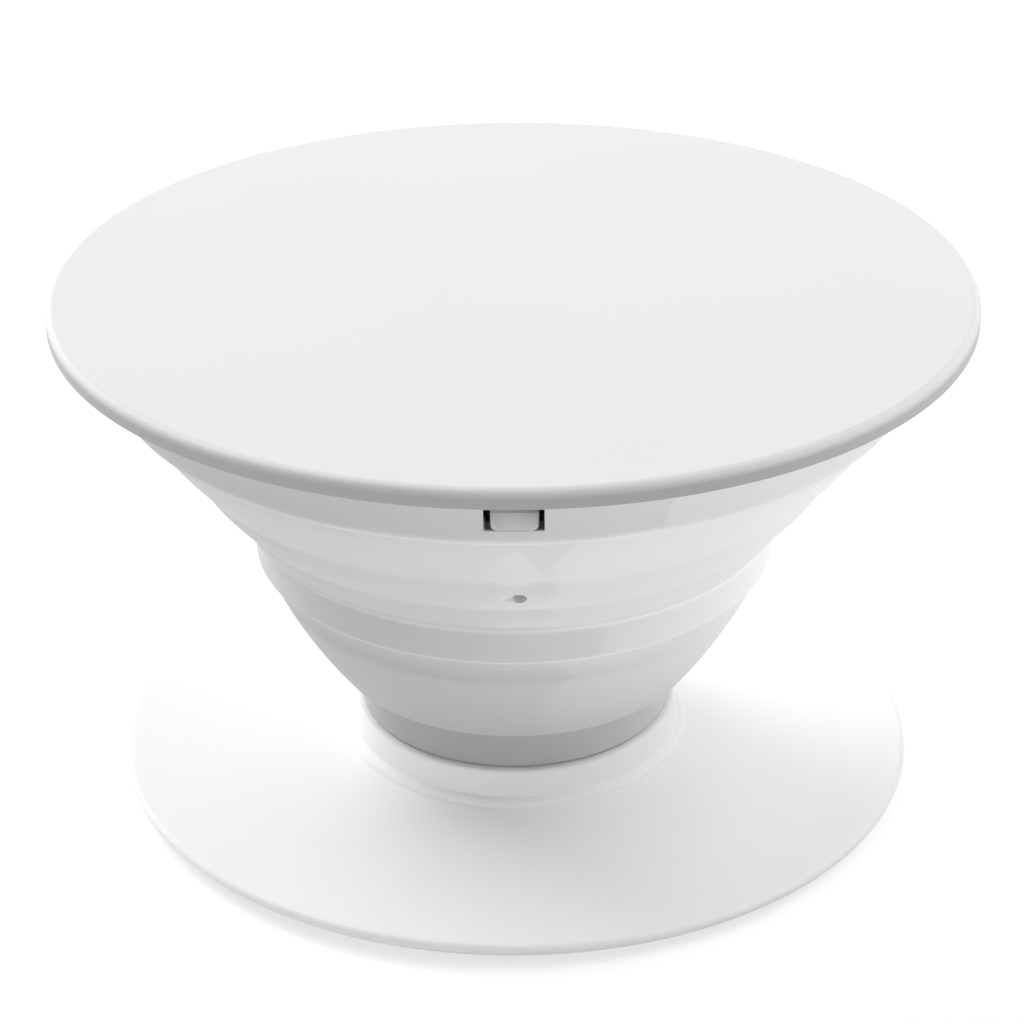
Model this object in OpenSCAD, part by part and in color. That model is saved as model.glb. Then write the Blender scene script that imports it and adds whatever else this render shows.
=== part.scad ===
// Pop-out phone holder: a round disc on a collapsible bellows over a stick-on base.
// Millimetres, Z up along the axis, origin at the middle of the adhesive's face.

/* [Top disc] */
// Diameter of the round disc that the fingers hold
disc_d = 39.9; // [36:0.1:46]
// Thickness of the disc outside the band
disc_t = 0.75; // [0.7:0.05:1.5]
// Thickness of the disc's core, inside the skirt
core_t = 1.3; // [1:0.05:2]
// Radius of the roll from the disc's flat top to its widest line
disc_edge_r = 0.65; // [0.2:0.05:0.65]
// Wall of the skirt that fits inside the bellows' top band
skirt_t = 1; // [0.6:0.05:1.5]
// Gap between the skirt and the band around it
skirt_side_gap = 0.05; // [0.02:0.01:0.1]

/* [Snap hooks and windows] */
// How many hooks hold the disc, one of them at the front
hook_count = 4; // [2:1:6]
// Width of a window in the band
window_w = 2.3; // [1.5:0.1:4]
// Height of a window
window_h = 1; // [0.8:0.05:1.2]
// Height of the windows' sills above the band's lower edge
window_sill = 0.55; // [0.4:0.05:0.8]
// Gap between the skirt's end and its seat inside the bellows
skirt_end_gap = 0.05; // [0.02:0.01:0.2]
// Gap between a hook and each side of its window
hook_side_gap = 0.27; // [0.1:0.01:0.4]
// Gap above a hook, under the window's upper edge
hook_top_gap = 0.2; // [0.05:0.05:0.3]
// How far the front of a hook's nose lies inside the band's outer face
hook_inset = 0.08; // [0.02:0.01:0.3]
// How far a hook's face leans back from its nose to its top
hook_lean = 0.3; // [0:0.05:0.4]
// Radius of a hook's lower corners
hook_corner_r = 0.35; // [0.1:0.05:0.4]
// Size of the lead-in slope under a hook's nose
hook_lead = 0.12; // [0.05:0.01:0.3]
// Width of the slots in the skirt on both sides of a hook, which let it spring
slot_w = 0.45; // [0.3:0.05:0.8]
// Height of the skirt between the slots' upper ends and the disc's core
slot_root = 0.1; // [0.1:0.05:0.6]

/* [Bellows] */
// Thickness of the bellows' wall panels
wall_t = 1; // [0.8:0.05:1.2]
// How far each panel bows outwards at its middle
panel_bow = 0.12; // [0.02:0.01:0.15]
// Radius of the outer face of the top band
band_r = 17.3; // [16.5:0.05:18]
// Wall of the top band
band_t = 1.1; // [0.8:0.05:1.4]
// Height of the top band
band_h = 2.87; // [2.5:0.01:3.3]
// How far the upper wall's outer face lies inside the band's
band_step = 0.4; // [0.2:0.05:0.6]
// Rise of the upper wall between the ring and the band
upper_h = 7.2; // [6:0.1:9]
// Creases of the upper wall, as shares of its length from the ring
upper_creases = [0.25, 0.54];
// Extra bow of the upper wall as a whole
upper_bow = 0.08; // [0:0.01:0.2]
// Radius of the outer face of the middle ring
ring_r = 11.5; // [11:0.05:12.5]
// Wall of the middle ring
ring_t = 1.4; // [1.2:0.05:1.7]
// Height of the middle ring
ring_h = 1.6; // [1.2:0.05:2]
// Width of the ledge on top of the ring
ring_ledge = 0.2; // [0.1:0.05:0.5]
// How far the lower wall's outer face lies inside the ring's
ring_step = 0.3; // [0.2:0.05:0.6]
// Rise of the lower wall between the neck's shoulder and the ring
lower_h = 5.6; // [4.5:0.1:7]
// Extra bow of the lower wall as a whole
lower_bow = 0.25; // [0:0.01:0.3]
// Crease of the lower wall, as a share of its length from the shoulder
lower_creases = [0.76];
// Radius of the hollow in the panel under the ring
hollow_r = 1.2; // [1:0.05:2]
// Depth of that hollow
hollow_depth = 0.18; // [0.05:0.01:0.25]
// How far the round lip at the lower wall's foot stands out past the neck
lip_overhang = 1.25; // [0.9:0.05:1.8]
// Thickness left at the thin hinges inside the creases
hinge_t = 0.5; // [0.3:0.05:0.7]
// Radius of the grooves that thin the wall at the hinges
hinge_groove_r = 0.5; // [0.3:0.05:0.7]
// Radius of the edges of the band and the ring
step_edge_r = 0.12; // [0.05:0.01:0.2]
// Radius of the fine grooves outside, under the band and the ring
step_groove_r = 0.22; // [0.1:0.01:0.3]
// Diameter of the vent hole through the upper wall
vent_d = 0.65; // [0.4:0.05:1]
// Height of the vent hole above the ring
vent_rise = 2.6; // [2:0.05:4]
// Diameter of the shallow dish around the vent hole
vent_dish_d = 1.2; // [1:0.05:2]
// Depth of that dish
vent_dish_depth = 0.15; // [0.05:0.01:0.25]

/* [Neck and swivel] */
// Radius of the spigot that turns in the collar
spigot_r = 6.5; // [6.2:0.05:7]
// Wall of the spigot, around the hole up through it and the neck
spigot_wall = 1.1; // [0.8:0.05:1.8]
// How far the neck above the collar stands out past the spigot
neck_step = 0.5; // [0.4:0.05:0.7]
// Height of the neck
neck_h = 2.1; // [1.5:0.1:3]
// How far the foot flange that holds the bellows down reaches past the spigot
flange_reach = 0.7; // [0.5:0.05:0.9]
// Thickness of the foot flange
flange_t = 0.7; // [0.5:0.05:1]
// Radial running clearance between the spigot and the collar
spigot_gap = 0.06; // [0.03:0.01:0.1]
// Play between the turning faces that meet end on
end_gap = 0.08; // [0.04:0.01:0.15]

/* [Base plate] */
// Diameter of the base plate
plate_d = 35.7; // [33:0.1:42]
// Thickness of the plate at its rounded edge
plate_edge_t = 0.5; // [0.4:0.05:0.9]
// Rise of the plate's coned top from its edge to the collar
plate_rise = 0.3; // [0.1:0.05:0.6]
// Wall of the collar at its top, around its bore
collar_wall = 0.74; // [0.6:0.02:1]
// Widening of the collar from its top to its foot
collar_taper = 0.12; // [0:0.01:0.3]
// Height of the collar above the plate's underside
collar_h = 2.35; // [2.2:0.05:3]
// Radius of the collar's outer top edge
collar_edge_r = 0.2; // [0.1:0.05:0.3]
// Width of the bead around the collar's foot
bead_w = 0.45; // [0.3:0.05:0.7]
// Height of the bead above the coned top
bead_h = 0.3; // [0.2:0.05:0.5]

/* [Adhesive pad] */
// How far the pad's edge lies inside the plate's
pad_inset = 1.25; // [0.5:0.05:3]
// Thickness of the adhesive pad
pad_t = 0.45; // [0.3:0.05:1]

/* [Hidden] */
$fn = 96;

// Small overlap that lets cuts pass right through
cut = 0.5;

// Heights, from the adhesive's face upwards
plate_top = pad_t + plate_edge_t + plate_rise;
collar_top = pad_t + collar_h;
flange_bottom = pad_t + end_gap;
flange_top = flange_bottom + flange_t;
lip_bottom = flange_top + end_gap;
neck_bottom = collar_top + end_gap;
shoulder = neck_bottom + neck_h;
ring_bottom = shoulder + lower_h;
ring_top = ring_bottom + ring_h;
band_bottom = ring_top + upper_h;
band_top = band_bottom + band_h;
disc_top = band_top + disc_t;
core_bottom = disc_top - core_t;

// Radii of the parts that fit each other
disc_r = disc_d / 2;
plate_r = plate_d / 2;
pad_r = plate_r - pad_inset;
neck_bore_r = spigot_r - spigot_wall;
neck_r = spigot_r + neck_step;
flange_r = spigot_r + flange_reach;
lip_r = neck_r + lip_overhang;
bore_r = spigot_r + spigot_gap;
counterbore_r = flange_r + spigot_gap;
collar_r = bore_r + collar_wall;
bead_r = collar_r + collar_taper + bead_w;
skirt_r = band_r - band_t - skirt_side_gap;

// Window, hook and skirt, measured from the band's lower edge
window_bottom = band_bottom + window_sill;
window_top = window_bottom + window_h;
skirt_bottom = window_bottom;
hook_w = window_w - 2 * hook_side_gap;
hook_top = window_top - hook_top_gap;
hook_r = band_r - hook_inset;

// Points on the outer faces of the bellows' sloping walls, as [radius, height]
upper_face_foot = [ring_r - ring_ledge, ring_top];
upper_face_head = [band_r - band_step, band_bottom];
lower_face_head = [ring_r - ring_step, ring_bottom];

// Sideways direction of a wall that runs from p to q, towards the outside
function outwards(p, q) = [q.y - p.y, p.x - q.x] / norm(q - p);

// Ends of the walls' middle lines, half a thickness in from those faces
half_t = wall_t / 2;
upper_in = outwards(upper_face_foot, upper_face_head) * half_t;
upper_foot = upper_face_foot - upper_in;
upper_head = upper_face_head - upper_in;
lower_foot = [lip_r - half_t, shoulder + half_t];
lower_head = lower_face_head - outwards(lower_foot, lower_face_head) * half_t;

// The vent's place on the upper wall's outer face, and the sphere that cuts its dish
vent_face = upper_face_foot + (upper_face_head - upper_face_foot) * vent_rise / upper_h;
dish_r = (pow(vent_dish_d / 2, 2) + pow(vent_dish_depth, 2)) / (2 * vent_dish_depth);
dish_rise = dish_r - vent_dish_depth + panel_bow + upper_bow;
dish_centre = vent_face + outwards(upper_face_foot, upper_face_head) * dish_rise;

// Point at a share of the wall's length, on a wall bowed outwards as a whole
function wall_point(p, q, share, bow) =
    p + (q - p) * share + outwards(p, q) * bow * 4 * share * (1 - share);

// Foot, creases and head of a wall, in order
function wall_points(p, q, creases, bow) =
    [for (share = concat([0], creases, [1])) wall_point(p, q, share, bow)];

// One panel between two points: a true arc with round ends
module panel(p, q) {
    span = norm(q - p);
    arc_r = (pow(span / 2, 2) + pow(panel_bow, 2)) / (2 * panel_bow);
    half_turn = asin(span / 2 / arc_r);
    reach = (arc_r + wall_t) / cos(half_turn);
    translate((p + q) / 2) rotate(atan2(q.y - p.y, q.x - p.x))
        translate([0, arc_r - panel_bow])
            intersection() {
                difference() {
                    circle(arc_r + half_t);
                    circle(arc_r - half_t);
                }
                polygon([
                    [0, 0],
                    [-reach * sin(half_turn), -reach * cos(half_turn)],
                    [reach * sin(half_turn), -reach * cos(half_turn)],
                ]);
            }
    for (end = [p, q]) translate(end) circle(half_t);
}

// A wall of panels that meet at creases
module wall(points) {
    for (i = [1 : len(points) - 1]) panel(points[i - 1], points[i]);
}

// Grooves on the inside of a wall's creases, which leave thin hinges
module hinge_grooves(points) {
    inset = hinge_t - half_t + hinge_groove_r;
    for (i = [1 : len(points) - 2])
        translate(points[i] - outwards(points[i - 1], points[i + 1]) * inset)
            circle(hinge_groove_r);
}

// A block with round edges, from its lower inner corner
module soft_block(size, edge_r) {
    translate([edge_r, 0]) square([size.x - 2 * edge_r, size.y]);
    translate([0, edge_r]) square([size.x, size.y - 2 * edge_r]);
    for (x = [edge_r, size.x - edge_r], y = [edge_r, size.y - edge_r])
        translate([x, y]) circle(edge_r);
}

// Half section of the bellows, radius along x and height along y
module bellows_section() {
    upper = wall_points(upper_foot, upper_head, upper_creases, upper_bow);
    lower = wall_points(lower_foot, lower_head, lower_creases, lower_bow);
    // Ends of the panel under the ring, and the way out from its face
    under_foot = lower[len(lower) - 2];
    under_head = lower[len(lower) - 1];
    under_out = outwards(under_foot, under_head);
    difference() {
        union() {
            // Top band
            translate([band_r - band_t, band_bottom]) soft_block([band_t, band_h], step_edge_r);
            wall(upper);
            // Middle ring
            translate([ring_r - ring_t, ring_bottom]) soft_block([ring_t, ring_h], step_edge_r);
            wall(lower);
            // Shoulder over the neck
            translate([neck_bore_r, shoulder]) square([lower_foot.x - neck_bore_r, wall_t]);
            // Neck, spigot and foot flange
            translate([neck_bore_r, neck_bottom]) square([neck_r - neck_bore_r, neck_h + half_t]);
            translate([neck_bore_r, flange_bottom])
                square([spigot_r - neck_bore_r, neck_bottom - flange_bottom + half_t]);
            translate([neck_bore_r, flange_bottom]) square([flange_r - neck_bore_r, flange_t]);
        }
        hinge_grooves(upper);
        hinge_grooves(lower);
        translate(upper_face_head) circle(step_groove_r);
        translate(lower_face_head) circle(step_groove_r);
        // Hollow in the panel under the ring
        translate((under_foot + under_head) / 2
            + under_out * (half_t + panel_bow + hollow_r - hollow_depth))
            circle(hollow_r);
        // Seat for the skirt's end
        translate([0, skirt_bottom - skirt_end_gap]) square([band_r - band_t, band_h]);
    }
}

// Places its children at each hook, the first one at the front
module at_hooks() {
    for (i = [0 : hook_count - 1]) rotate(360 / hook_count * i - 90) children();
}

// Face of a hook seen from outside: straight on top, round at the lower corners
module hook_face() {
    height = hook_top - window_bottom;
    translate([-hook_w / 2, window_bottom + hook_corner_r])
        square([hook_w, height - hook_corner_r]);
    translate([hook_corner_r - hook_w / 2, window_bottom])
        square([hook_w - 2 * hook_corner_r, height]);
    for (side = [-1, 1])
        translate([side * (hook_w / 2 - hook_corner_r), window_bottom + hook_corner_r])
            circle(hook_corner_r);
}

// One snap hook on the +X side: a nose that leans back above and has a lead-in below
module hook() {
    root_r = skirt_r - skirt_t / 2;
    intersection() {
        rotate([90, 0, 0]) linear_extrude(hook_w, center = true)
            polygon([
                [root_r, hook_top],
                [hook_r - hook_lean, hook_top],
                [hook_r, window_bottom + hook_lead],
                [hook_r - hook_lead, window_bottom],
                [root_r, window_bottom],
            ]);
        rotate([90, 0, 90]) linear_extrude(band_r) hook_face();
    }
}

// The two slots beside a hook, which make a springy finger of the skirt between them
module finger_slots() {
    for (y = [-hook_w / 2 - slot_w, hook_w / 2])
        translate([skirt_r - skirt_t - cut, y, skirt_bottom - cut])
            cube([skirt_t + 2 * cut, slot_w, core_bottom - slot_root - skirt_bottom + cut]);
}

// Half section of the disc with its rolled rim, its core and its skirt
module disc_section() {
    flat_r = disc_r - disc_edge_r;
    translate([0, band_top]) square([flat_r, disc_t]);
    intersection() {
        translate([flat_r, disc_top - disc_edge_r]) circle(disc_edge_r);
        translate([flat_r, band_top]) square([disc_edge_r, disc_t]);
    }
    translate([0, core_bottom]) square([skirt_r - skirt_t / 2, core_t]);
    translate([skirt_r - skirt_t, skirt_bottom])
        square([skirt_t, band_top - skirt_bottom + disc_t / 2]);
}

module top_disc() {
    color([0.93, 0.93, 0.93]) {
        difference() {
            rotate_extrude() disc_section();
            at_hooks() finger_slots();
        }
        at_hooks() hook();
    }
}

module bellows() {
    color([0.83, 0.82, 0.83])
        difference() {
            rotate_extrude() bellows_section();
            at_hooks()
                translate([band_r - band_t - cut, -window_w / 2, window_bottom])
                    cube([band_t + 2 * cut, window_w, window_h]);
            translate([0, 0, ring_top + vent_rise]) rotate([90, 0, 0])
                cylinder(h = band_r, d = vent_d);
            translate([0, -dish_centre.x, dish_centre.y]) sphere(dish_r);
        }
}

// Half section of the base plate with its collar, without the bore
module base_section() {
    edge_r = plate_edge_t / 2;
    collar_foot_r = collar_r + collar_taper;
    // Coned plate with a round edge
    polygon([
        [0, pad_t],
        [plate_r - edge_r, pad_t],
        [plate_r - edge_r, pad_t + plate_edge_t],
        [collar_foot_r, plate_top],
        [0, plate_top],
    ]);
    translate([plate_r - edge_r, pad_t + edge_r]) circle(edge_r);
    // Bead around the collar's foot
    translate([0, pad_t + plate_edge_t]) square([bead_r - bead_h, plate_rise + bead_h]);
    translate([bead_r - bead_h, plate_top]) circle(bead_h);
    // Collar with a round outer edge
    polygon([
        [0, plate_top],
        [collar_foot_r, plate_top],
        [collar_r, collar_top - collar_edge_r],
        [0, collar_top - collar_edge_r],
    ]);
    translate([0, collar_top - 2 * collar_edge_r])
        square([collar_r - collar_edge_r, 2 * collar_edge_r]);
    translate([collar_r - collar_edge_r, collar_top - collar_edge_r]) circle(collar_edge_r);
}

module base_plate() {
    color([0.96, 0.96, 0.96])
        rotate_extrude()
            difference() {
                base_section();
                // Bore for the spigot, and the counterbore for its flange
                translate([-cut, 0]) square([bore_r + cut, collar_top + cut]);
                translate([-cut, 0]) square([counterbore_r + cut, lip_bottom]);
            }
}

module adhesive_pad() {
    color([0.75, 0.75, 0.72]) cylinder(h = pad_t, r = pad_r);
}

top_disc();
bellows();
base_plate();
adhesive_pad();
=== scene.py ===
# %% [markdown]
# # A pop-out phone grip in soft white
# The object is a grip that sticks to the back of a phone. From the top down it has a round disc
# for the fingers, a soft bellows that folds flat, and a thin base plate with a collar in which the
# bellows turns. Nearly every surface is turned about one axis, so this lesson draws half sections
# and turns them with Geometry Nodes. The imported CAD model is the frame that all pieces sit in.

# %% Load the frame
import math

import bmesh
import bpy
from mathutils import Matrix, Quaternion, Vector


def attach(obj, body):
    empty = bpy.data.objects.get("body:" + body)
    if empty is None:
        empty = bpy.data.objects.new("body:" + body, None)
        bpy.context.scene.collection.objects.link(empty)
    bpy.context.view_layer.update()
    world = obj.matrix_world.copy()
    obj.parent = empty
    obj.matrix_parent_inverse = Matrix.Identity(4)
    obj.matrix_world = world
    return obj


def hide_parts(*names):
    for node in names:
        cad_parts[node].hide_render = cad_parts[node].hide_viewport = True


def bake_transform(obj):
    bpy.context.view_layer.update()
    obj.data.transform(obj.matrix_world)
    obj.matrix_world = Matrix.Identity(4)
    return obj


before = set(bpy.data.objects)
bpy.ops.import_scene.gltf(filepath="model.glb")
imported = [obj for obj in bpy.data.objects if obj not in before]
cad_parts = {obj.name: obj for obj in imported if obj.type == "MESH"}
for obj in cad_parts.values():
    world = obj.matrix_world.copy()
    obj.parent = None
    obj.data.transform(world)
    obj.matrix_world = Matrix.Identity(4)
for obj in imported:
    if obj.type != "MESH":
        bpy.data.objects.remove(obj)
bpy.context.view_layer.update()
MM = 0.001

# %% [markdown]
# ## Camera
# The rims in the picture are ellipses, and how flat they are gives the pitch of the camera. A long
# lens fits them best. The roll of a third of a degree is in the picture too. The camera comes
# first, because every later choice is judged through it.

# %% Camera
LENS_MM, PITCH_DOWN, ROLL = 106.7, 27.37, -0.35
CAMERA_PLACE = (-0.0001, -0.1201, 0.0740)
camera_data = bpy.data.cameras.new("camera")
camera_data.sensor_width = 36
camera_data.lens = LENS_MM
camera_data.clip_start = 0.01
camera_data.clip_end = 20
camera = bpy.data.objects.new("camera", camera_data)
bpy.context.scene.collection.objects.link(camera)
camera.location = CAMERA_PLACE
camera.rotation_mode = "QUATERNION"
pitch = Quaternion((1, 0, 0), math.radians(90 - PITCH_DOWN))
roll = Quaternion((0, 0, 1), math.radians(ROLL))
camera.rotation_quaternion = pitch @ roll
bpy.context.scene.camera = camera
print("camera at", [round(v / MM, 1) for v in camera.location], "mm")

# %% [markdown]
# ## Helpers for node trees
# Both kinds of tree here, geometry and shader, are built with the same two small functions. One
# adds a node and fills its inputs, and the other starts a group with named inputs and outputs.

# %% Node helpers
def add_node(tree, kind, inputs=None, **settings):
    node = tree.nodes.new(kind)
    for name, value in settings.items():
        setattr(node, name, value)
    for key, value in (inputs or {}).items():
        if isinstance(value, bpy.types.NodeSocket):
            tree.links.new(value, node.inputs[key])
        else:
            node.inputs[key].default_value = value
    return node


def new_group(name, kind, inputs, outputs):
    tree = bpy.data.node_groups.new(name, kind)
    for label, socket_type, value in inputs:
        socket = tree.interface.new_socket(name=label, in_out="INPUT", socket_type=socket_type)
        if value is not None:
            socket.default_value = value
    for label, socket_type in outputs:
        tree.interface.new_socket(name=label, in_out="OUTPUT", socket_type=socket_type)
    return tree, tree.nodes.new("NodeGroupInput").outputs, tree.nodes.new("NodeGroupOutput").inputs


def math_node(tree, operation, *values):
    return add_node(tree, "ShaderNodeMath", dict(enumerate(values)), operation=operation).outputs[0]


print("node helpers are ready")

# %% [markdown]
# ## Moulded surfaces as a shader group
# Moulded plastic is never quite smooth. The steel of the mould leaves a fine grain, and the
# surface waves a little where the plastic shrank. One group holds both, and each material places
# it with its own values. It puts out a height for a Bump node and a value that shifts roughness.
#
# A second group, the place mask, grows from 0 to 1 between two heights and between two radii. The
# materials paint light and shade into their colour with it. Painted shade makes the side of the
# disc and the foot of the bellows greyer than the surfaces above them. Painted light makes the
# rounded edge of the disc, the face of the ring and a line along its top, and the lower part of
# each hook lighter.

# %% Shader group: moulded grain
grain, grain_in, grain_out = new_group(
    "moulded grain",
    "ShaderNodeTree",
    [
        ("Grain scale", "NodeSocketFloat", 9000.0),
        ("Grain share", "NodeSocketFloat", 0.5),
        ("Wave scale", "NodeSocketFloat", 160.0),
    ],
    [("Height", "NodeSocketFloat"), ("Mottle", "NodeSocketFloat")],
)
place = add_node(grain, "ShaderNodeTexCoord").outputs["Object"]
fine = add_node(
    grain,
    "ShaderNodeTexNoise",
    {"Vector": place, "Scale": grain_in["Grain scale"], "Detail": 3.0, "Roughness": 0.6},
).outputs["Fac"]
broad = add_node(
    grain,
    "ShaderNodeTexNoise",
    {"Vector": place, "Scale": grain_in["Wave scale"], "Detail": 2.0, "Roughness": 0.45},
).outputs["Fac"]
mixed = add_node(
    grain,
    "ShaderNodeMix",
    {"Factor": grain_in["Grain share"], "A": broad, "B": fine},
    data_type="FLOAT",
).outputs[0]
grain.links.new(mixed, grain_out["Height"])
grain.links.new(math_node(grain, "SUBTRACT", broad, 0.5), grain_out["Mottle"])
print("group", grain.name, "has", len(grain.nodes), "nodes")

# %% Shader group: place mask for painted light and shade
mask_group, mask_in, mask_out = new_group(
    "place mask",
    "ShaderNodeTree",
    [
        ("Height clear", "NodeSocketFloat", 0.0),
        ("Height full", "NodeSocketFloat", 1.0),
        ("Radius clear", "NodeSocketFloat", 0.0),
        ("Radius full", "NodeSocketFloat", 1.0),
    ],
    [("Mask", "NodeSocketFloat")],
)
spot = add_node(mask_group, "ShaderNodeTexCoord").outputs["Object"]
flat = add_node(
    mask_group, "ShaderNodeVectorMath", {0: spot, 1: (1, 1, 0)}, operation="MULTIPLY"
).outputs[0]
radius = add_node(
    mask_group, "ShaderNodeVectorMath", {0: flat}, operation="LENGTH"
).outputs["Value"]
height = add_node(mask_group, "ShaderNodeSeparateXYZ", {0: spot}).outputs["Z"]
shares = []
for value, label in ((height, "Height"), (radius, "Radius")):
    clear, full = mask_in[label + " clear"], mask_in[label + " full"]
    ramp = {"Value": value, "From Min": clear, "From Max": full}
    shares.append(add_node(mask_group, "ShaderNodeMapRange", ramp).outputs[0])
mask_group.links.new(math_node(mask_group, "MULTIPLY", *shares), mask_out["Mask"])
print("group", mask_group.name, "has", len(mask_group.nodes), "nodes")


# %% A material of moulded plastic
SOFT_GLOSS, ROUGHNESS_DRIFT, RELIEF, MOTTLE_REACH = 0.3, 0.12, 0.00002, 0.25


def moulded(name, colour, deep_colour, roughness, ior, bump, grain_scale, wave_scale, painted_shading=()):
    """White plastic: the colour drifts a little towards deep_colour, with painted light over it.

    Each painted mark is a colour that stands in for light or shade, then the height where it starts
    and the height where it is full, then the same for the radius, all in mm.
    """
    material = bpy.data.materials.new(name)
    material.use_nodes = True
    tree = material.node_tree
    shader = tree.nodes["Principled BSDF"]
    shader.inputs["IOR"].default_value = ior
    shader.inputs["Specular IOR Level"].default_value = SOFT_GLOSS
    group = add_node(tree, "ShaderNodeGroup", node_tree=grain)
    group.inputs["Grain scale"].default_value = grain_scale
    group.inputs["Wave scale"].default_value = wave_scale
    mottle = group.outputs["Mottle"]
    drift = add_node(
        tree,
        "ShaderNodeMapRange",
        {"Value": mottle, "From Min": -MOTTLE_REACH, "From Max": MOTTLE_REACH},
    ).outputs[0]
    tone = add_node(
        tree,
        "ShaderNodeMix",
        {"Factor": drift, "A": (*deep_colour, 1), "B": (*colour, 1)},
        data_type="RGBA",
    ).outputs[2]
    # Each mark paints light or shade into the colour over one part of the piece.
    for painted_colour, *limits in painted_shading:
        mask = add_node(tree, "ShaderNodeGroup", node_tree=mask_group)
        for socket, limit in zip(mask.inputs, limits):
            socket.default_value = limit * MM
        tone = add_node(
            tree,
            "ShaderNodeMix",
            {"Factor": mask.outputs[0], "A": tone, "B": (*painted_colour, 1)},
            data_type="RGBA",
        ).outputs[2]
    tree.links.new(tone, shader.inputs["Base Color"])
    rough = math_node(tree, "MULTIPLY_ADD", mottle, ROUGHNESS_DRIFT, roughness)
    tree.links.new(rough, shader.inputs["Roughness"])
    relief = add_node(
        tree,
        "ShaderNodeBump",
        {"Height": group.outputs["Height"], "Strength": bump, "Distance": RELIEF},
    ).outputs[0]
    tree.links.new(relief, shader.inputs["Normal"])
    return material


def grey(value):
    return (value, value, value)


print("moulded materials have a gloss level of", SOFT_GLOSS)

# %% Materials of the grip
# Painted highlight along the top of the disc's rounded edge, and painted shade on the side below
# it.
rim_painted_shading = [
    (grey(0.95), 22.995, 22.95, 19.2, 19.5),
    (grey(0.62), 22.85, 22.6, 19.2, 19.6),
]
# Painted light: the hooks are lighter towards their bottom.
hook_painted_light = (grey(0.95), 20.7, 20.1, 17.5, 17.4)
# Painted shade: the bellows gets darker towards its foot.
foot_painted_shade = ((0.62, 0.605, 0.61), 18, 4, 30, 20)
# Painted light on the ring: a light line along the top of its face, and a lighter face.
ring_painted_light = [
    ((0.86, 0.845, 0.85), 12.3, 12.25, 11.1, 11.3),
    ((0.80, 0.785, 0.79), 12.12, 12.05, 11.1, 11.3),
]
disc_white = moulded(
    "disc white", grey(0.765), grey(0.755), 0.6, 1.46, 0.25, 9000, 120, [*rim_painted_shading, hook_painted_light]
)
bellows_white = moulded(
    "bellows white", (0.81, 0.795, 0.80), (0.795, 0.78, 0.787), 0.62, 1.45, 0.5, 6000, 200,
    [foot_painted_shade, *ring_painted_light],
)
base_white = moulded(
    "base white", (0.925, 0.925, 0.92), (0.915, 0.915, 0.91), 0.38, 1.46, 0.25, 9000, 120
)
pad_grey = moulded(
    "adhesive grey", (0.60, 0.60, 0.58), (0.52, 0.52, 0.50), 0.35, 1.41, 0.8, 3000, 500
)
print("materials:", [m.name for m in bpy.data.materials])

# %% [markdown]
# ## Half sections
# A half section is a line of points, each with a radius and a height in millimetres. Real moulded
# edges are never sharp, and a rounded edge is what catches the light. So a corner is written with
# the radius of its rounding, and one function turns the corners into a smooth line. Two extra
# points near each rounding keep the shading of the flats flat.

# %% Section helpers
def outwards(p, q):
    """Unit normal of a wall that runs up from p to q, towards the outside."""
    along = Vector(q) - Vector(p)
    return Vector((along.y, -along.x)).normalized()


def bowed(p, q, rise, steps):
    """Points between p and q on a shallow arc that rises outwards, without its two ends."""
    p, q = Vector(p), Vector(q)
    side = outwards(p, q)
    shares = [i / steps for i in range(1, steps)]
    return [p + (q - p) * s + side * (4 * rise * s * (1 - s)) for s in shares]


def arc(centre, radius, start, end, steps):
    """Points on an arc, from one angle to another, in degrees."""
    turns = [math.radians(start + (end - start) * i / steps) for i in range(steps + 1)]
    return [Vector(centre) + Vector((math.cos(t), math.sin(t))) * radius for t in turns]


def spaced(points, gap):
    """The points without those that lie within a gap of the one before."""
    kept = [points[0]]
    for point in points[1:]:
        if (point - kept[-1]).length > gap:
            kept.append(point)
    return kept


SPARE = 0.03  # from a rounding to the extra point on the flat beside it
SIDE_SHARE = 0.46  # the most of a side that one rounding takes up
FINE_GAP = 0.002  # points closer than this become one


def softened(corners, closed, steps=7):
    """A smooth line from corners, each of which is a point and the radius of its rounding."""
    points = [Vector(c[:2]) for c in corners]
    line = []
    for i, corner in enumerate(corners):
        here = points[i]
        radius = corner[2] if len(corner) > 2 else 0
        ends = not closed and i in (0, len(corners) - 1)
        if radius == 0 or ends:
            line.append(here)
            continue
        back = points[i - 1] - here
        ahead = points[(i + 1) % len(points)] - here
        turn = math.pi - back.angle(ahead)
        longest = SIDE_SHARE * min(back.length, ahead.length)
        reach = min(radius * math.tan(turn / 2), longest)
        first = here + back.normalized() * reach
        last = here + ahead.normalized() * reach
        if back.length > reach * 2 + 4 * SPARE:
            line.append(first + back.normalized() * SPARE)
        for k in range(steps + 1):
            s = k / steps
            line.append(first * (1 - s) ** 2 + here * 2 * s * (1 - s) + last * s**2)
        if ahead.length > reach * 2 + 4 * SPARE:
            line.append(last + ahead.normalized() * SPARE)
    return spaced(line, FINE_GAP)


corner = softened([(0, 0), (1, 0, 0.2), (1, 1)], False)
print("a rounded square corner has", len(corner), "points")

# %% [markdown]
# ## The turning tree
# A lathe follows a rule: the same section at every angle. The tree lays a flat grid with one row
# for each point of the section, and then moves each grid point to its place round the axis. Rows
# and steps are read from the grid's own numbering. Merging closes the seam and the poles.

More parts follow.
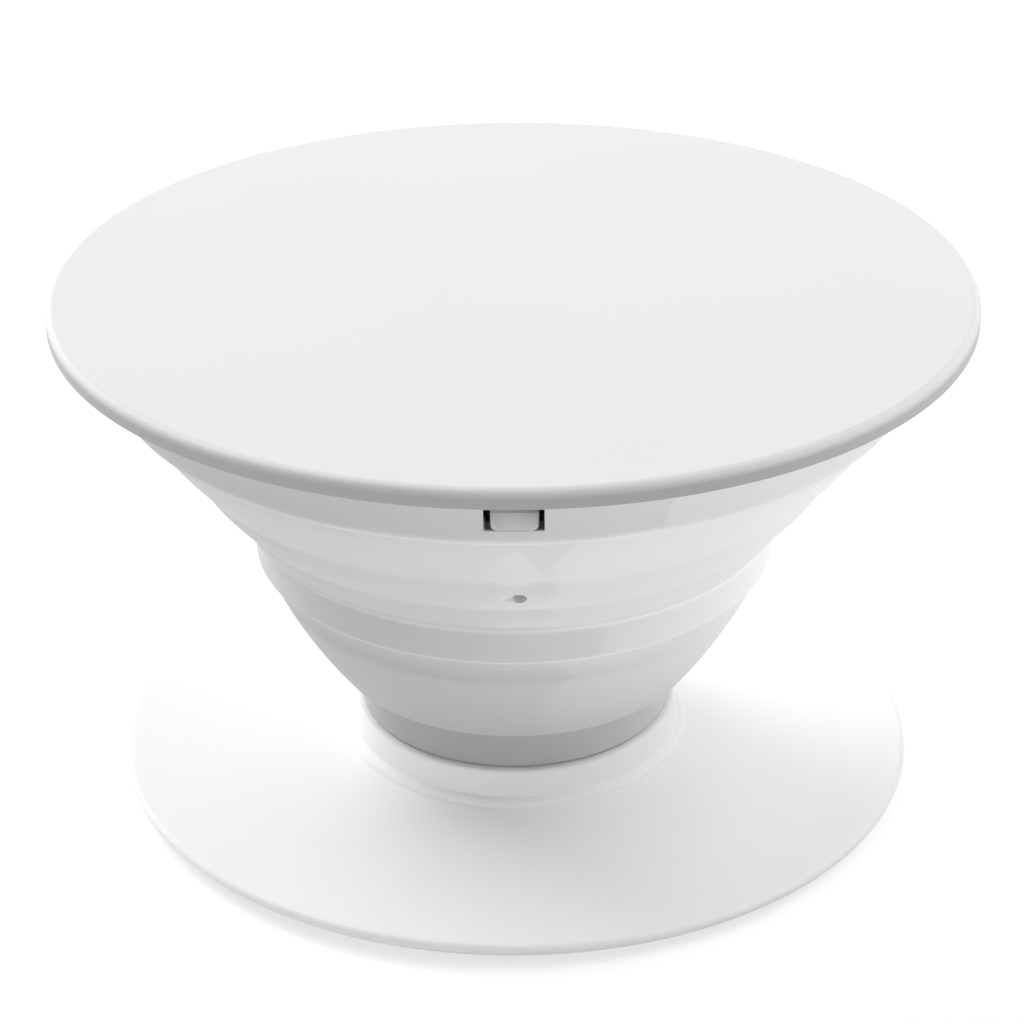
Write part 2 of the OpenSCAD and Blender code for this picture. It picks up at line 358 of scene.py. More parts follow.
# %% Geometry group: turned form
turned, turned_in, turned_out = new_group(
    "turned form",
    "GeometryNodeTree",
    [
        ("Section", "NodeSocketGeometry", None),
        ("Steps around", "NodeSocketInt", 360),
        ("Closed", "NodeSocketInt", 1),
    ],
    [("Geometry", "NodeSocketGeometry")],
)
count = add_node(
    turned, "GeometryNodeAttributeDomainSize", {"Geometry": turned_in["Section"]}, component="MESH"
).outputs["Point Count"]
rows = math_node(turned, "ADD", count, turned_in["Closed"])
columns = math_node(turned, "ADD", turned_in["Steps around"], 1.0)
grid = add_node(
    turned, "GeometryNodeMeshGrid", {"Vertices X": rows, "Vertices Y": columns}
).outputs["Mesh"]
number = add_node(turned, "GeometryNodeInputIndex").outputs[0]
middle = math_node(turned, "ADD", number, 0.5)
row = math_node(turned, "FLOOR", math_node(turned, "DIVIDE", middle, columns))
step = math_node(turned, "SUBTRACT", number, math_node(turned, "MULTIPLY", row, columns))
angle = math_node(
    turned, "MULTIPLY", math_node(turned, "DIVIDE", step, turned_in["Steps around"]), 2 * math.pi
)
section_point = add_node(
    turned,
    "GeometryNodeSampleIndex",
    {
        "Geometry": turned_in["Section"],
        "Value": add_node(turned, "GeometryNodeInputPosition").outputs[0],
        "Index": math_node(turned, "MODULO", row, count),
    },
    data_type="FLOAT_VECTOR",
    domain="POINT",
).outputs[0]
parts = add_node(turned, "ShaderNodeSeparateXYZ", {0: section_point}).outputs
around = add_node(
    turned,
    "ShaderNodeCombineXYZ",
    {
        "X": math_node(turned, "MULTIPLY", parts["X"], math_node(turned, "COSINE", angle)),
        "Y": math_node(turned, "MULTIPLY", parts["X"], math_node(turned, "SINE", angle)),
        "Z": parts["Z"],
    },
).outputs[0]
placed = add_node(
    turned, "GeometryNodeSetPosition", {"Geometry": grid, "Position": around}
).outputs[0]
welded = add_node(
    turned, "GeometryNodeMergeByDistance", {"Geometry": placed, "Distance": 1e-6}
).outputs[0]
turned.links.new(welded, turned_out["Geometry"])
print("group", turned.name, "has", len(turned.nodes), "nodes")


# %% Geometry group: copies round the axis
repeated, repeated_in, repeated_out = new_group(
    "round the axis",
    "GeometryNodeTree",
    [("Piece", "NodeSocketGeometry", None), ("Count", "NodeSocketInt", 4)],
    [("Geometry", "NodeSocketGeometry")],
)
spots = add_node(
    repeated,
    "GeometryNodeMeshLine",
    {"Count": repeated_in["Count"], "Offset": (0, 0, 0)},
    mode="OFFSET",
).outputs["Mesh"]
number = add_node(repeated, "GeometryNodeInputIndex").outputs[0]
share = math_node(repeated, "DIVIDE", number, repeated_in["Count"])
facing = add_node(
    repeated, "ShaderNodeCombineXYZ", {"Z": math_node(repeated, "MULTIPLY", share, 2 * math.pi)}
).outputs[0]
copies = add_node(
    repeated,
    "GeometryNodeInstanceOnPoints",
    {"Points": spots, "Instance": repeated_in["Piece"], "Rotation": facing},
).outputs["Instances"]
real = add_node(repeated, "GeometryNodeRealizeInstances", {"Geometry": copies}).outputs[0]
repeated.links.new(real, repeated_out["Geometry"])
print("group", repeated.name, "has", len(repeated.nodes), "nodes")


# %% Geometry group: pairs of blocks round the axis
pairs, pairs_in, pairs_out = new_group(
    "pairs round the axis",
    "GeometryNodeTree",
    [
        ("Size", "NodeSocketVector", (0, 0, 0)),
        ("Place", "NodeSocketVector", (0, 0, 0)),
        ("Count", "NodeSocketInt", 4),
    ],
    [("Geometry", "NodeSocketGeometry")],
)
pair = add_node(pairs, "GeometryNodeJoinGeometry")
for side in (-1, 1):
    block = add_node(pairs, "GeometryNodeMeshCube", {"Size": pairs_in["Size"]}).outputs["Mesh"]
    place = add_node(
        pairs, "ShaderNodeVectorMath", {0: pairs_in["Place"], 1: (side, 1, 1)}, operation="MULTIPLY"
    ).outputs[0]
    block = add_node(
        pairs, "GeometryNodeTransform", {"Geometry": block, "Translation": place}
    ).outputs[0]
    pairs.links.new(block, pair.inputs[0])
all_round = add_node(
    pairs,
    "GeometryNodeGroup",
    {"Piece": pair.outputs[0], "Count": pairs_in["Count"]},
    node_tree=repeated,
).outputs[0]
pairs.links.new(all_round, pairs_out["Geometry"])
print("group", pairs.name, "has", len(pairs.nodes), "nodes")


# %% The end of every piece's tree
def close_tree(tree, shape, material, result):
    """Makes instances real, sets the material and hands the piece over."""
    real = add_node(tree, "GeometryNodeRealizeInstances", {"Geometry": shape}).outputs[0]
    finish = add_node(tree, "GeometryNodeSetMaterial", {"Geometry": real, "Material": material})
    tree.links.new(finish.outputs[0], result)
    print("group", tree.name, "has", len(tree.nodes), "nodes")


# %% From a section to a plain mesh
def section_object(name, points):
    """An object whose mesh is the section's line, radius along X and height along Z, in metres."""
    mesh = bpy.data.meshes.new(name)
    places = [(p[0] * MM, 0, p[1] * MM) for p in points]
    mesh.from_pydata(places, [(i, i + 1) for i in range(len(points) - 1)], [])
    thing = bpy.data.objects.new(name, mesh)
    bpy.context.scene.collection.objects.link(thing)
    return thing


def plain(thing, tree, values, name, material, sharp=32):
    """Runs a geometry tree on an object and keeps its result as a plain mesh."""
    modifier = thing.modifiers.new(tree.name, "NODES")
    modifier.node_group = tree
    for item in tree.interface.items_tree:
        if item.item_type == "SOCKET" and item.in_out == "INPUT" and item.name in values:
            modifier[item.identifier] = values[item.name]
    evaluated = thing.evaluated_get(bpy.context.evaluated_depsgraph_get())
    mesh = bpy.data.meshes.new_from_object(evaluated)
    thing.modifiers.remove(modifier)
    bpy.data.objects.remove(thing)
    shell = bmesh.new()
    shell.from_mesh(mesh)
    bmesh.ops.remove_doubles(shell, verts=shell.verts, dist=1e-7)
    bmesh.ops.recalc_face_normals(shell, faces=shell.faces)
    shell.to_mesh(mesh)
    shell.free()
    mesh.name = name
    mesh.materials.clear()
    mesh.materials.append(material)
    mesh.shade_smooth()
    mesh.set_sharp_from_angle(angle=math.radians(sharp))
    piece = bpy.data.objects.new(name, mesh)
    bpy.context.scene.collection.objects.link(piece)
    triangles = sum(len(p.vertices) - 2 for p in mesh.polygons)
    print(name, "has", triangles, "triangles")
    return piece


# %% [markdown]
# ## Sizes that the pieces share
# The heights are stacked as the object is: pad, plate, collar, neck, lower wall, ring, upper wall,
# band and disc. They repeat the CAD model's sizes.

# %% Shared sizes
pad_top, plate_top, collar_top = 0.45, 1.25, 2.80
shoulder, ring_bottom, ring_top = 4.98, 10.58, 12.18
band_bottom, band_top, disc_top = 19.38, 22.25, 23.0
disc_r, disc_edge, disc_core, disc_lip = 19.91, 0.38, 1.3, 0.05
band_r, ring_r = 17.3, 11.5
panel_bow, upper_bow, lower_bow = 0.12, 0.08, 0.25
window_bottom, window_w, window_h, window_x = 19.93, 2.36, 1.0, -0.03
hook_w, hook_count, STEPS = 1.88, 4, 360

# %% [markdown]
# ## Top disc
# One hard moulding. Its top is flat, and its edge turns over in a quarter round that ends in a
# crisp lower corner. A skirt under it carries four snap hooks, which show through the windows of
# the bellows, and a slot on each side of a hook lets it spring. The disc is turned, and the hooks
# and slots are set round the axis by nodes.

# %% Disc section
core_bottom = disc_top - disc_core
core_r, skirt_out, skirt_in = 15.6, 16.15, 15.15
flat_r = disc_r - disc_edge
disc_section = [(0, disc_top), (flat_r - 0.3, disc_top), (flat_r - SPARE, disc_top)]
disc_section += arc((flat_r, disc_top - disc_edge), disc_edge, 90, 0, 20)
disc_section += softened(
    [
        (disc_r, band_top + 0.05),
        (disc_r, band_top - disc_lip, 0.03),
        (disc_r - 0.3, band_top - disc_lip, 0.05),
        (disc_r - 0.4, band_top),
        (core_r, band_top),
        (core_r, core_bottom),
        (0, core_bottom),
    ],
    False,
)[1:]
skirt_section = softened(
    [
        (skirt_out, band_top + 0.3),
        (skirt_out, window_bottom, 0.12),
        (skirt_in, window_bottom, 0.12),
        (skirt_in, band_top + 0.3),
    ],
    False,
)
print("disc section:", len(disc_section), "points, skirt section:", len(skirt_section), "points")


# %% Snap hook
def snap_hook():
    """A nose that faces -Y, with round lower corners and a face that leans back to its top."""
    top, bottom, corner, edge = 20.5, window_bottom - 0.01, 0.22, 0.2
    front, lean = 17.27, 0.4
    depths = (0, 0.01, 0.03, 0.06, 0.1, 0.15, 0.2, 0.4, 1.6)
    outline = []
    for side, start in ((1, 0), (-1, -90)):
        centre = (side * (hook_w / 2 - corner), bottom + corner)
        outline += arc(centre, corner, start, start - 90, 8)
    rises = (0.27, 0.33, 0.39, 0.45, 0.51, 0.55, top - bottom)
    outline += [Vector((-hook_w / 2, bottom + rise)) for rise in rises]
    outline += [Vector((hook_w / 2, bottom + rise)) for rise in reversed(rises)]
    shell = bmesh.new()
    loops = []
    for depth in depths:
        inset = edge - math.sqrt(max(0, edge**2 - max(0, edge - depth) ** 2))
        loop = []
        for point in outline:
            spot = point + Vector((math.copysign(inset, -point.x), 0))
            leant = lean * ((spot.y - bottom) / (top - bottom)) ** 2
            back = depth + leant * (depth < depths[-1])
            loop.append(shell.verts.new((spot.x * MM, (back - front) * MM, spot.y * MM)))
        loops.append(loop)
    for a, b in zip(loops, loops[1:]):
        for i in range(len(outline)):
            j = (i + 1) % len(outline)
            shell.faces.new((a[i], a[j], b[j], b[i]))
    shell.faces.new(loops[0])
    shell.faces.new(list(reversed(loops[-1])))
    bmesh.ops.recalc_face_normals(shell, faces=shell.faces)
    mesh = bpy.data.meshes.new("snap hook")
    shell.to_mesh(mesh)
    shell.free()
    thing = bpy.data.objects.new("snap hook", mesh)
    bpy.context.scene.collection.objects.link(thing)
    return thing


hook = snap_hook()
print("snap hook has", len(hook.data.polygons), "faces")

# %% Geometry group: top disc
top_tree, top_in, top_out = new_group(
    "top disc",
    "GeometryNodeTree",
    [
        ("Section", "NodeSocketGeometry", None),
        ("Skirt", "NodeSocketObject", None),
        ("Steps around", "NodeSocketInt", 360),
        ("Hook", "NodeSocketObject", None),
        ("Hook count", "NodeSocketInt", 4),
        ("Slot size", "NodeSocketVector", (0, 0, 0)),
        ("Slot place", "NodeSocketVector", (0, 0, 0)),
        ("Material", "NodeSocketMaterial", None),
    ],
    [("Geometry", "NodeSocketGeometry")],
)
body = add_node(
    top_tree,
    "GeometryNodeGroup",
    {"Section": top_in["Section"], "Steps around": top_in["Steps around"], "Closed": 0},
    node_tree=turned,
).outputs[0]
shapes = {
    label: add_node(
        top_tree, "GeometryNodeObjectInfo", {"Object": top_in[label]}
    ).outputs["Geometry"]
    for label in ("Skirt", "Hook")
}
skirt = add_node(
    top_tree,
    "GeometryNodeGroup",
    {"Section": shapes["Skirt"], "Steps around": top_in["Steps around"], "Closed": 1},
    node_tree=turned,
).outputs[0]
hooks = add_node(
    top_tree,
    "GeometryNodeGroup",
    {"Piece": shapes["Hook"], "Count": top_in["Hook count"]},
    node_tree=repeated,
).outputs[0]
print("the disc's tree turns a body and a skirt, and sets the hooks round them")

# %% Spring slots beside the hooks
slots = add_node(
    top_tree,
    "GeometryNodeGroup",
    {
        "Size": top_in["Slot size"],
        "Place": top_in["Slot place"],
        "Count": top_in["Hook count"],
    },
    node_tree=pairs,
).outputs[0]
slotted = add_node(
    top_tree,
    "GeometryNodeMeshBoolean",
    {"Mesh 1": skirt, "Mesh 2": slots},
    operation="DIFFERENCE",
    solver="EXACT",
).outputs["Mesh"]
joined = add_node(top_tree, "GeometryNodeJoinGeometry")
for shape in (hooks, slotted, body):
    top_tree.links.new(shape, joined.inputs[0])
close_tree(top_tree, joined.outputs[0], top_in["Material"], top_out["Geometry"])

# %% Make the top disc
skirt_line = section_object("skirt section", skirt_section)
slot_foot, slot_head = window_bottom - 0.5, core_bottom - 0.1
slot_w, slot_depth, slot_r = 0.45, 2, 15.65
slot_x, slot_z = (hook_w + slot_w) / 2, (slot_head + slot_foot) / 2
top_disc = plain(
    section_object("disc section", disc_section),
    top_tree,
    {
        "Skirt": skirt_line,
        "Steps around": STEPS,
        "Hook": hook,
        "Hook count": hook_count,
        "Slot size": (slot_w * MM, slot_depth * MM, (slot_head - slot_foot) * MM),
        "Slot place": (slot_x * MM, -slot_r * MM, slot_z * MM),
        "Material": disc_white,
    },
    "top_disc_shell",
    disc_white,
)
bpy.data.objects.remove(hook)
bpy.data.objects.remove(skirt_line)
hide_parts("top_disc")
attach(top_disc, "disc")

# %% [markdown]
# ## Bellows
# One soft moulding, and the piece that gives the grip its look. Its section runs from the foot
# flange up the neck, over a round lip into the lower wall, round the middle ring, up the creased
# upper wall and into the band. Each panel bows out a little between its creases, except the one
# under the ring, which is slightly hollow. A fine groove runs behind the lip that hangs from the
# band. The windows, the wells in their sills and the vent with its dent are cut after turning.

# %% Wall points
half_wall = 0.5


def wall_line(foot, head, creases, whole_bow):
    """Points along a wall's middle line: foot, creases and head, bowed as a whole."""
    foot, head = Vector(foot), Vector(head)
    side = outwards(foot, head)
    shares = [0, *creases, 1]
    return [foot + (head - foot) * s + side * (4 * whole_bow * s * (1 - s)) for s in shares]


def wall_edges(line, offset):
    """The corners of a wall's face, at an offset from its middle line."""
    edges = []
    for i, point in enumerate(line):
        before = outwards(line[max(i - 1, 0)], line[max(i, 1)])
        after = outwards(line[min(i, len(line) - 2)], line[min(i + 1, len(line) - 1)])
        middle = (before + after).normalized()
        edges.append(point + middle * (offset / middle.dot(before)))
    return edges


def wall_face(edges, rise, steps):
    """A face through its corners, with every panel bowed by rise."""
    face = [edges[0]]
    for p, q in zip(edges, edges[1:]):
        face += [*bowed(p, q, rise, steps), q]
    return face


upper_creases, lower_creases = [0.25, 0.54], [0.76]
upper_foot_face, upper_head_face = Vector((11.3, ring_top)), Vector((16.9, band_bottom))
upper_in = outwards(upper_foot_face, upper_head_face) * half_wall
upper_line = wall_line(
    upper_foot_face - upper_in, upper_head_face - upper_in, upper_creases, upper_bow
)
lower_foot = Vector((7.75, shoulder + half_wall))
lower_head_face = Vector((11.2, ring_bottom))
lower_head = lower_head_face - outwards(lower_foot, lower_head_face) * half_wall
lower_line = wall_line(lower_foot, lower_head, lower_creases, lower_bow)
upper_lean = math.atan2(*reversed(upper_head_face - upper_foot_face))
print("upper wall leans", round(math.degrees(upper_lean)), "degrees from level")

# %% Bellows section
ring_hollow, ring_edge, band_edge, band_lip = 0.10, 0.25, 0.45, 0.2
upper_out = wall_face(wall_edges(upper_line, half_wall), panel_bow, 10)
lower_edges = wall_edges(lower_line, half_wall)
lower_out = wall_face(lower_edges, panel_bow, 12)
lower_out[-12:-1] = bowed(lower_edges[-2], lower_edges[-1], -ring_hollow, 12)


def beyond(points, centre, radius):
    """The points that lie outside a groove's circle."""
    return [p for p in points if (p - Vector(centre)).length > radius]


def groove(centre, wall, radius, end):
    """A groove's outline, from the wall's face round to an angle in degrees."""
    along = math.degrees(math.atan2(wall[-1].y - wall[-2].y, wall[-1].x - wall[-2].x))
    return arc(centre, radius, along + 180, end, 12)


groove_r, groove_gap = 0.09, 0.11
band_foot = upper_head_face.lerp(upper_foot_face, band_lip / (band_bottom - ring_top))
band_groove = band_foot.lerp(
    upper_foot_face, groove_gap / (band_foot - upper_foot_face).length
)
bore, flange_r, spigot_r, neck_r = 5.4, 7.2, 6.5, 7.0
flange_bottom, flange_top, spigot_top = 0.53, 1.23, 2.88
lip_end = math.degrees(math.atan2(*reversed(outwards(lower_line[0], lower_line[1]))))
outside = softened(
    [
        (bore, flange_bottom),
        (flange_r, flange_bottom, 0.1),
        (flange_r, flange_top, 0.1),
        (spigot_r, flange_top, 0.05),
        (spigot_r, spigot_top, 0.05),
        (neck_r, spigot_top, 0.08),
        (neck_r, shoulder, 0.2),
        (neck_r + 0.6, shoulder),
    ],
    False,
)
outside += arc(lower_foot, half_wall, -90, lip_end, 8)
outside += lower_out[1:]
outside += arc((ring_r - ring_edge, ring_bottom + ring_edge), ring_edge, -80, 0, 8)
outside += softened(
    [(ring_r, ring_bottom + ring_edge), (ring_r, ring_top, 0.1), tuple(upper_out[2])],
    False,
)[1:-1]
outside += [p for p in beyond(upper_out[2:-1], band_groove, groove_r) if p.y < band_groove.y]
outside += groove(band_groove, upper_out, groove_r, 70)
band_turn = band_bottom - band_lip + band_edge
band_in = 16.2
outside += arc((band_r - band_edge, band_turn), band_edge, -90, 0, 12)
outside += softened(
    [(band_r, band_turn), (band_r, band_top, 0.08), (band_in, band_top)],
    False,
)[1:]
print("outside of the bellows:", len(outside), "points")

# %% Inside of the bellows
hinge_r, neck_top = 0.5, 5.98
ring_in, ring_in_foot, ring_in_head = 10.1, 10.8, 12.0
ledge_in, ledge = 16.02, 19.88


def hinge(edge, along):
    """The round groove inside a crease, which leaves a thin hinge."""
    lean = math.degrees(math.atan2(along.y, along.x))
    return arc(edge, hinge_r, lean, lean - 180, 6)


def inner_face(edges):
    """Inner face from head to foot, with a hinge groove at each crease."""
    face = []
    for i in range(len(edges) - 1, 0, -1):
        panel = [edges[i], *reversed(bowed(edges[i - 1], edges[i], panel_bow, 4)), edges[i - 1]]
        face += [p for p in panel if all((p - e).length > hinge_r for e in edges[1:-1])]
        if i > 1:
            face += hinge(edges[i - 1], edges[i] - edges[i - 1])
    return face


def between(points, low, high):
    """The points whose height lies between two limits."""
    return [p for p in points if low < p.y < high]


upper_inner = inner_face(wall_edges(upper_line, -half_wall))
lower_inner = inner_face(wall_edges(lower_line, -half_wall))
inside = [(band_in, ledge), (ledge_in, ledge)]
inside += between(upper_inner, ring_top - 0.2, ledge - 0.08)
inside += [(ring_in, ring_in_head), (ring_in, ring_in_foot)]
inside += between(lower_inner, neck_top + 0.02, ring_in_foot - 0.1)
inside += [(bore + 1.2, neck_top), (bore, neck_top)]
bellows_section = spaced([Vector(p[:2]) for p in outside + inside], 0.01)
print("bellows section:", len(bellows_section), "points")

# %% Vent and its dent
vent_rise, vent_d, vent_depth, vent_x = 2.93, 0.65, 0.32, 0.16
vent_reach, vent_stretch = 3, 1.3
dish_d, dish_depth, dish_x = 0.6, 0.09, -0.28
vent_face = upper_foot_face.lerp(upper_head_face, vent_rise / (band_bottom - ring_top))
vent_out = outwards(upper_foot_face, upper_head_face)
vent_centre = vent_face + vent_out * (vent_reach + panel_bow + upper_bow - vent_depth)
vent_lean = -math.atan2(vent_out.x, -vent_out.y)
dish_r = ((dish_d / 2) ** 2 + dish_depth**2) / (2 * dish_depth)
dish_centre = vent_face + vent_out * (dish_r - dish_depth + panel_bow + upper_bow)
print("the dent is cut by a ball of radius", round(dish_r, 2), "mm")

# %% Geometry group: bellows
bellows_tree, bellows_in, bellows_out = new_group(
    "bellows",
    "GeometryNodeTree",
    [
        ("Section", "NodeSocketGeometry", None),
        ("Steps around", "NodeSocketInt", 360),
        ("Window count", "NodeSocketInt", 4),
        ("Window size", "NodeSocketVector", (0, 0, 0)),
        ("Window place", "NodeSocketVector", (0, 0, 0)),
        ("Well size", "NodeSocketVector", (0, 0, 0)),
        ("Well place", "NodeSocketVector", (0, 0, 0)),
        ("Vent diameter", "NodeSocketFloat", 0.00065),
        ("Vent place", "NodeSocketVector", (0, 0, 0)),
        ("Vent lean", "NodeSocketFloat", -0.9),
        ("Dish radius", "NodeSocketFloat", 0.001),
        ("Dish place", "NodeSocketVector", (0, 0, 0)),
        ("Material", "NodeSocketMaterial", None),
    ],
    [("Geometry", "NodeSocketGeometry")],
)
body = add_node(
    bellows_tree,
    "GeometryNodeGroup",
    {"Section": bellows_in["Section"], "Steps around": bellows_in["Steps around"], "Closed": 1},
    node_tree=turned,
).outputs[0]
window = add_node(
    bellows_tree, "GeometryNodeMeshCube", {"Size": bellows_in["Window size"]}
).outputs["Mesh"]
window = add_node(
    bellows_tree,
    "GeometryNodeTransform",
    {"Geometry": window, "Translation": bellows_in["Window place"]},
).outputs[0]
windows = add_node(
    bellows_tree,
    "GeometryNodeGroup",
    {"Piece": window, "Count": bellows_in["Window count"]},
    node_tree=repeated,
).outputs[0]
wells = add_node(
    bellows_tree,
    "GeometryNodeGroup",
    {
        "Size": bellows_in["Well size"],
        "Place": bellows_in["Well place"],
        "Count": bellows_in["Window count"],
    },
    node_tree=pairs,
).outputs[0]
print("the bellows' tree turns a body, and makes windows and wells to cut from it")

# %% Vent, dent and the cut
vent = add_node(
    bellows_tree,
    "GeometryNodeMeshCylinder",
    {
        "Vertices": 48,
        "Radius": math_node(bellows_tree, "MULTIPLY", bellows_in["Vent diameter"], 0.5),
        "Depth": 2 * vent_reach * MM,
    },
).outputs["Mesh"]
tilt = add_node(bellows_tree, "ShaderNodeCombineXYZ", {"X": bellows_in["Vent lean"]}).outputs[0]
vent = add_node(
    bellows_tree,
    "GeometryNodeTransform",
    {
        "Geometry": vent,
        "Translation": bellows_in["Vent place"],
        "Rotation": tilt,
        "Scale": (1, vent_stretch, 1),
    },
).outputs[0]
dish = add_node(
    bellows_tree,
    "GeometryNodeMeshUVSphere",
    {"Segments": 128, "Rings": 64, "Radius": bellows_in["Dish radius"]},
).outputs["Mesh"]
dish = add_node(
    bellows_tree,
    "GeometryNodeTransform",
    {"Geometry": dish, "Translation": bellows_in["Dish place"]},
).outputs[0]
cut = add_node(bellows_tree, "GeometryNodeMeshBoolean", operation="DIFFERENCE", solver="EXACT")
bellows_tree.links.new(body, cut.inputs["Mesh 1"])
for cutter in (windows, wells, vent, dish):
    bellows_tree.links.new(cutter, cut.inputs["Mesh 2"])
close_tree(bellows_tree, cut.outputs["Mesh"], bellows_in["Material"], bellows_out["Geometry"])

# %% Make the bellows
window_depth, window_r = 2.1, 16.75
well_size, well_place = (0.24, 1.75, 0.6), (1.03, -16.275, 19.9)
bellows = plain(
    section_object("bellows section", bellows_section),
    bellows_tree,
    {
        "Steps around": STEPS,
        "Window count": hook_count,
        "Window size": (window_w * MM, window_depth * MM, window_h * MM),
        "Window place": (window_x * MM, -window_r * MM, (window_bottom + window_h / 2) * MM),
        "Well size": tuple(v * MM for v in well_size),
        "Well place": tuple(v * MM for v in well_place),
        "Vent diameter": vent_d * MM,
        "Vent place": (vent_x * MM, -vent_centre.x * MM, vent_centre.y * MM),
        "Vent lean": vent_lean,
        "Dish radius": dish_r * MM,
        "Dish place": (dish_x * MM, -dish_centre.x * MM, dish_centre.y * MM),
        "Material": bellows_white,
    },
    "bellows_skin",
    bellows_white,
    sharp=22,
)
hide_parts("bellows")
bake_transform(bellows)

# %% [markdown]
# ## Base plate and adhesive
# The base is a thin plate whose top falls away from the collar like a very flat cone. A bead runs
# round the collar's foot. The pad under it is a soft gel, a little smaller than the plate.

# %% Base section
plate_r, plate_edge, underside_r = 17.85, 0.25, 17.1
cone_foot, cone_head = Vector((17.4, 0.956)), Vector((7.92, 1.235))
counterbore, collar_bore, collar_r, collar_foot_r = 7.26, 6.56, 7.31, 7.405
bead_r, bead_edge, lip_bottom = 7.57, 0.3, 1.31
bead_top = plate_top + bead_edge
base_section = [Vector((counterbore, pad_top)), Vector((underside_r, pad_top))]
base_section += arc((plate_r - plate_edge, pad_top + plate_edge), plate_edge, -90, 88, 14)
base_section += [cone_foot, cone_head]
base_section += arc((bead_r, plate_top), bead_edge, 0, 90, 8)
base_section += softened(
    [
        (bead_r - 0.01, bead_top),
        (collar_foot_r, bead_top, 0.08),
        (collar_r, collar_top, 0.2),
        (collar_bore, collar_top, 0.1),
        (collar_bore, lip_bottom, 0.05),
        (counterbore, lip_bottom, 0.05),
        (counterbore, pad_top + 0.02),
    ],
    False,
)
print("base section:", len(base_section), "points")

# %% Geometry group: plain turned piece
round_tree, round_in, round_out = new_group(
    "plain turned piece",
    "GeometryNodeTree",
    [
        ("Section", "NodeSocketGeometry", None),
        ("Steps around", "NodeSocketInt", 360),
        ("Closed", "NodeSocketInt", 1),
        ("Material", "NodeSocketMaterial", None),
    ],
    [("Geometry", "NodeSocketGeometry")],
)
body = add_node(
    round_tree,
    "GeometryNodeGroup",
    {label: round_in[label] for label in ("Section", "Steps around", "Closed")},
    node_tree=turned,
).outputs[0]
close_tree(round_tree, body, round_in["Material"], round_out["Geometry"])

# %% Make the base plate
base_plate = plain(
    section_object("base section", base_section),
    round_tree,
    {"Steps around": STEPS, "Closed": 1, "Material": base_white},
    "base_plate_shell",
    base_white,
)
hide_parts("base_plate")
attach(base_plate, "base")

# %% Make the adhesive pad
pad_r = 16.6
pad_section = softened([(0, 0), (pad_r, 0, 0.08), (pad_r, pad_top, 0.05), (0, pad_top)], False)
pad = plain(
    section_object("pad section", pad_section),
    round_tree,
    {"Steps around": 240, "Closed": 0, "Material": pad_grey},
    "adhesive_gel",
    pad_grey,
)
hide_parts("adhesive_pad")
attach(pad, "base")

# %% [markdown]
# ## Floor, backdrop and light
# The picture is a bright table shot: a white floor, a white backdrop and soft light from all round.
# The light stays at a plain level, so that a colour renders about as it is written. The white of
# the background comes from what the camera sees of the floor and the world, not from more light.
# In the picture the bellows also gets light from low on the right, and the collar from the front.
# Two weak lamps that light one piece each do that. No lamp shows in a reflection.

# %% What the camera sees
def seen_rays(tree):
    """1 for rays from the camera, also mirrored or refracted ones, and 0 for all others."""
    paths = add_node(tree, "ShaderNodeLightPath").outputs
    bent = math_node(tree, "MAXIMUM", paths["Is Glossy Ray"], paths["Is Transmission Ray"])
    return math_node(tree, "MAXIMUM", paths["Is Camera Ray"], bent)


print("floor and world look different to the camera and to the light")

# %% Floor
FLOOR_REACH, FLOOR_BOUNCE, FLOOR_SEEN, FLOOR_GLOW = 4.0, 0.8, 0.45, 0.68
floor_mesh = bpy.data.meshes.new("floor")
sides = (-FLOOR_REACH, FLOOR_REACH)
corners = [(x, y, 0) for y in sides for x in sides]
floor_mesh.from_pydata(corners, [], [(0, 1, 3, 2)])
floor = bpy.data.objects.new("floor", floor_mesh)
bpy.context.scene.collection.objects.link(floor)
floor_white = bpy.data.materials.new("floor white")
floor_white.use_nodes = True
tree = floor_white.node_tree
tree.nodes.clear()
seen = seen_rays(tree)
shade = add_node(
    tree,
    "ShaderNodeMix",
    {"Factor": seen, "A": (*grey(FLOOR_BOUNCE), 1), "B": (*grey(FLOOR_SEEN), 1)},
    data_type="RGBA",
).outputs[2]
matt = add_node(tree, "ShaderNodeBsdfDiffuse", {"Color": shade}).outputs[0]
glow = add_node(
    tree, "ShaderNodeEmission", {"Strength": math_node(tree, "MULTIPLY", seen, FLOOR_GLOW)}
).outputs[0]
both = add_node(tree, "ShaderNodeAddShader", {0: matt, 1: glow}).outputs[0]
add_node(tree, "ShaderNodeOutputMaterial", {"Surface": both})
floor_mesh.materials.append(floor_white)
print("floor reaches", FLOOR_REACH, "m")

# %% World
WORLD_BASE, WORLD_FRONT, WORLD_RIGHT = 0.55, 0.27, 0.55
FRONT_FADE, RIGHT_FADE, LOW_FADE = (-0.1, -0.9), (0.35, 0.95), (0.6, 0.1)
world = bpy.data.worlds.new("white studio")
bpy.context.scene.world = world
world.use_nodes = True
tree = world.node_tree
tree.nodes.clear()
seen = seen_rays(tree)
toward = add_node(tree, "ShaderNodeTexCoord").outputs["Generated"]
toward = add_node(tree, "ShaderNodeSeparateXYZ", {0: toward}).outputs


def fades(value, start, end):
    """0 at start and 1 at end, with a smooth step between them."""
    node = add_node(
        tree,
        "ShaderNodeMapRange",
        {"Value": value, "From Min": min(start, end), "From Max": max(start, end)},
        interpolation_type="SMOOTHSTEP",
    )
    if start > end:
        node.inputs["To Min"].default_value, node.inputs["To Max"].default_value = 1, 0
    return node.outputs[0]


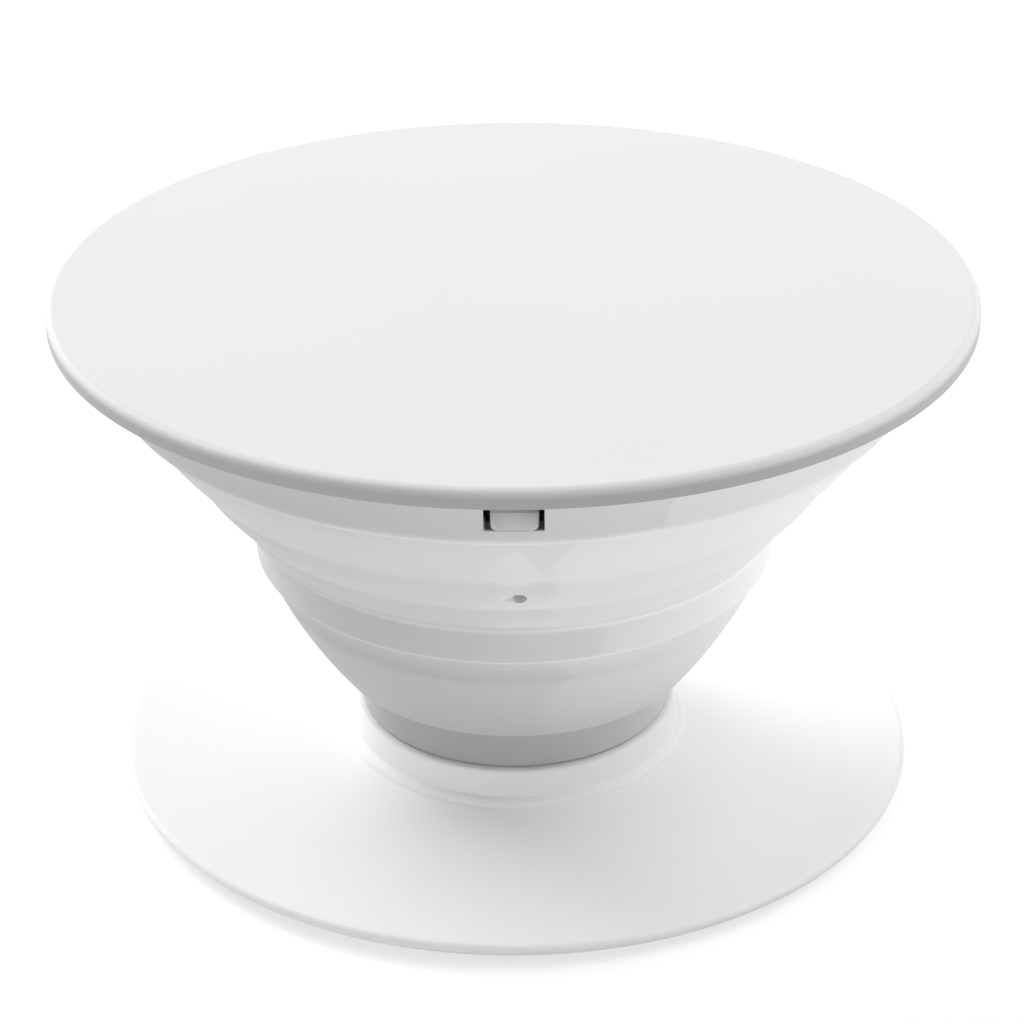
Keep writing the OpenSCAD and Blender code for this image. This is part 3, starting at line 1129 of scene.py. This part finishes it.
front = math_node(tree, "MULTIPLY", fades(toward["Y"], *FRONT_FADE), WORLD_FRONT)
side = math_node(
    tree, "MULTIPLY", fades(toward["X"], *RIGHT_FADE), fades(toward["Z"], *LOW_FADE)
)
side = math_node(tree, "MULTIPLY", side, WORLD_RIGHT)
light = math_node(tree, "ADD", math_node(tree, "SUBTRACT", WORLD_BASE, front), side)
strength = add_node(
    tree, "ShaderNodeMix", {"Factor": seen, "A": light, "B": 1.0}, data_type="FLOAT"
).outputs[0]
sky = add_node(tree, "ShaderNodeBackground", {"Strength": strength}).outputs[0]
add_node(tree, "ShaderNodeOutputWorld", {"Surface": sky})
print("world is darker in front by", WORLD_FRONT, "and brighter on the right by", WORLD_RIGHT)


# %% Soft lamps
def soft_lamp(name, place, target, size, power):
    """A round lamp, in metres and watts, that shows in no reflection."""
    lamp_data = bpy.data.lights.new(name, "AREA")
    lamp_data.shape = "DISK"
    lamp_data.size = size
    lamp_data.energy = power
    lamp = bpy.data.objects.new(name, lamp_data)
    bpy.context.scene.collection.objects.link(lamp)
    lamp.location = place
    lamp.visible_glossy = False
    lamp.rotation_mode = "QUATERNION"
    lamp.rotation_quaternion = (Vector(target) - Vector(place)).to_track_quat("-Z", "Y")
    return lamp


def light_only(lamp, lit, casting):
    """Lets a lamp light some pieces only, with shadows cast by some pieces only."""
    for label, pieces in (("receiver_collection", lit), ("blocker_collection", casting)):
        group = bpy.data.collections.new(lamp.name + " " + label)
        for piece in pieces:
            group.objects.link(piece)
        setattr(lamp.light_linking, label, group)
    lamp.visible_camera = False


soft_lamp("left", (-0.34, 0.37, 0.34), (0, 0, 0.01), 0.4, 3.35)
soft_lamp("right", (0.404, 0.129, 0.434), (0, 0, 0.01), 0.4, 1.45)
table_glow = soft_lamp("table glow", (0.305, -0.099, -0.138), (0, 0, 0.014), 0.3, 0.76)
light_only(table_glow, [bellows], [bellows, base_plate])
collar_fill = soft_lamp("collar fill", (-0.157, -0.368, 0.14), (0, 0, 0.005), 0.3, 0.38)
light_only(collar_fill, [base_plate], [bellows, base_plate])

# %% View settings
bpy.context.scene.view_settings.view_transform = "Standard"
print("view transform:", bpy.context.scene.view_settings.view_transform)
